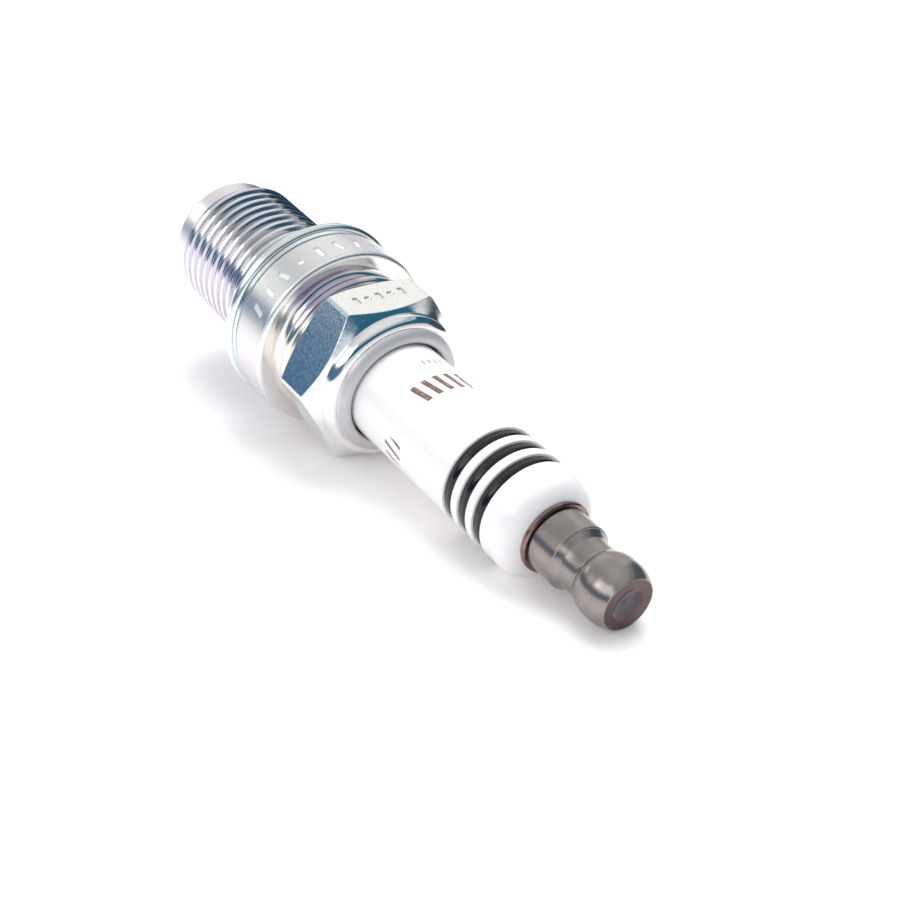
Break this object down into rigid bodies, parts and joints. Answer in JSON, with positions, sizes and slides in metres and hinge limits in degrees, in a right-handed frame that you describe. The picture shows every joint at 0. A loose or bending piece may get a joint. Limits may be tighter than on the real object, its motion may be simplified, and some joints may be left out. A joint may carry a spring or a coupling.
{
  "type": "spark plug",
  "caption": "Resistor spark plug: threaded, hexagon-headed metal shell with a folded gasket, white glazed insulator with black ribs, screw-on terminal and a fine-wire firing end.",
  "frame": {"origin": "on the plug's axis, in the seat plane under the collar", "axes": "+Z along the axis from the firing end to the terminal; a corner of the hexagon and the ground electrode's leg on -X"},
  "size_m": [0.0196, 0.0196, 0.0745],
  "materials": {
    "zinc_plated_shell": "satin",
    "gasket_steel": "satin",
    "glazed_alumina": "gloss",
    "black_glaze": "gloss",
    "packing_steel": "satin",
    "talc": "matte",
    "nickel_alloy": "satin",
    "copper": "satin",
    "iridium": "polished",
    "weld_metal": "satin",
    "seal_glass": "satin",
    "resistor_glass": "matte",
    "stud_steel": "satin",
    "tinted_washer": "satin",
    "nickel_terminal": "satin"
  },
  "bodies": {
    "plug": {"centre_electrode": "nickel_alloy", "copper_core": "copper", "glaze_band_1": "black_glaze", "glaze_band_2": "black_glaze", "glaze_band_3": "black_glaze", "ground_electrode": "nickel_alloy", "insulator": "glazed_alumina", "iridium_tip": "iridium", "lower_glass_seal": "seal_glass", "lower_packing_ring": "packing_steel", "metal_shell": "zinc_plated_shell", "resistor": "resistor_glass", "seat_packing": "packing_steel", "talc_fill": "talc", "terminal_stud": "stud_steel", "tip_weld": "weld_metal", "upper_glass_seal": "seal_glass", "upper_packing_ring": "packing_steel"},
    "gasket": {"gasket": "gasket_steel"},
    "terminal_washer": {"terminal_washer": "tinted_washer"},
    "terminal_nut": {"terminal_nut": "nickel_terminal"}
  },
  "joints": [
    {"name": "gasket_spin", "type": "hinge", "parent": "plug", "child": "gasket", "pos_m": [0, 0, 0], "axis": [0, 0, 1], "continuous": true},
    {"name": "terminal_turn", "type": "hinge", "parent": "plug", "child": "terminal_washer", "pos_m": [0, 0, 0], "axis": [0, 0, 1], "range_deg": [0, 3240]},
    {"name": "terminal_rise", "type": "slide", "parent": "terminal_washer", "child": "terminal_nut", "axis": [0, 0, 1], "range_m": [0, 0.0063]}
  ],
  "couplings": [
    {"joint": "terminal_turn", "follows": "terminal_rise", "rad_per_m": 8976}
  ]
}
